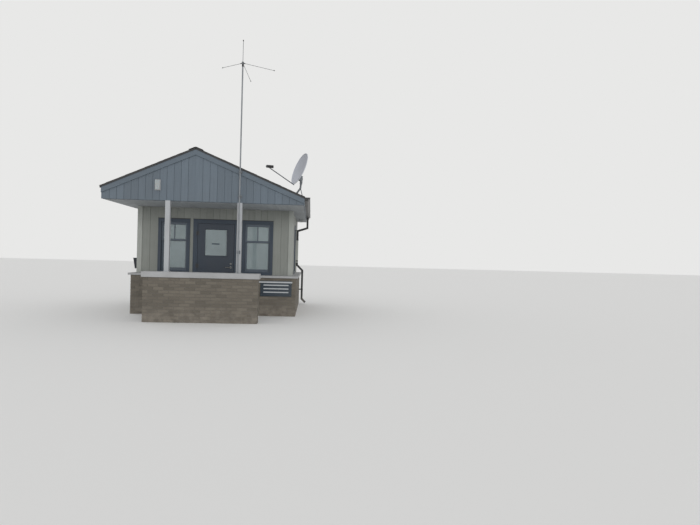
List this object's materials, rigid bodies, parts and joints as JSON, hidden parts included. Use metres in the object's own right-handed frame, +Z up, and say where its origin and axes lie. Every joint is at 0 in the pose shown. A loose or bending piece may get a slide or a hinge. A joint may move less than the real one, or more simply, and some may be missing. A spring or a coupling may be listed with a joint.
{
  "type": "security guard booth",
  "caption": "Small guard booth: brick base, board siding, closed gable roof over a front porch with a knee wall, half-glazed door that swings open, hung windows, dish and antenna mast.",
  "frame": {"origin": "on the ground, under the middle of the walled room", "axes": "+X to the right as seen from the front, +Y to the back, +Z up"},
  "size_m": [4.399, 5.67, 6.01],
  "materials": {
    "concrete": "broom-finished grey concrete",
    "brick": "tan-brown face brick with grey mortar",
    "precast": "smooth pale precast concrete",
    "siding": "taupe painted vertical boards",
    "gable_siding": "slate blue-grey painted boards",
    "pale_trim": "pale painted boards",
    "dark_trim": "dark blue-grey satin paint",
    "dark_sash": "dark blue-grey satin paint",
    "window_glass": "clear glass",
    "ceiling": "matt white panel",
    "soffit": "grooved grey panel",
    "timber": "sawn softwood",
    "shingles": "dark granulated shingles",
    "roof_trim": "slate grey satin paint",
    "gutter_metal": "dark satin paint on sheet metal",
    "post_paint": "light grey satin paint",
    "aluminium_sill": "ribbed mill aluminium",
    "door_paint": "dark navy satin paint",
    "handle_steel": "satin stainless steel",
    "hinge_steel": "satin steel",
    "sign_face": "dark enamelled plate",
    "lamp_lens": "opal lens",
    "box_paint": "dark painted steel",
    "dish_paint": "grey powder coat",
    "galvanised": "dull galvanised steel",
    "antenna_alloy": "plain aluminium rod"
  },
  "bodies": {
    "booth": {"floor_slab": "concrete", "brick_base_front": "brick", "brick_base_sides": "brick", "brick_base_back": "brick", "base_sill_front": "precast", "base_sill_sides": "precast", "base_sill_back": "precast", "front_window_casings": "dark_trim", "front_window_sashes": "dark_sash", "front_window_glass": "window_glass", "side_and_back_window_casings": "dark_trim", "side_and_back_window_sashes": "dark_sash", "side_and_back_window_glass": "window_glass", "front_wall_left": "siding", "front_wall_right": "siding", "front_wall_over_door": "siding", "left_wall": "siding", "right_wall": "siding", "back_wall": "siding", "corner_boards": "pale_trim", "ceiling_panel": "ceiling", "gable_soffits": "soffit", "eave_soffits": "soffit", "front_gable": "gable_siding", "back_gable": "gable_siding", "roof_trusses": "timber", "roof_left": "shingles", "roof_right": "shingles", "ridge_cap": "shingles", "rake_boards": "roof_trim", "eave_fascias": "roof_trim", "gutter_front_length": "gutter_metal", "gutter_back_length": "gutter_metal", "gutter_outlet_length": "gutter_metal", "gutter_end_length": "gutter_metal", "downspout": "gutter_metal", "downspout_straps": "gutter_metal", "knee_wall": "brick", "knee_wall_cap": "precast", "porch_posts": "post_paint", "door_frame": "dark_trim", "door_threshold": "aluminium_sill", "hinge_frame_halves": "hinge_steel", "sign_plate": "sign_face", "gable_light": "lamp_lens", "soffit_lamp": "lamp_lens", "wall_box": "box_paint", "dish_mount": "galvanised", "dish_reflector": "dish_paint", "dish_arm": "galvanised", "antenna_mast": "galvanised", "mast_brackets": "galvanised", "antenna_whip": "antenna_alloy", "antenna_radials": "antenna_alloy"},
    "door": {"door_leaf": "door_paint", "door_glass": "window_glass", "door_handles": "handle_steel", "hinge_door_halves": "hinge_steel"}
  },
  "joints": [
    {"name": "door_hinge", "type": "hinge", "parent": "booth", "child": "door", "pos_m": [-0.437, -1.859, 1.177], "axis": [0, 0, -1], "range_deg": [0, 100]}
  ]
}
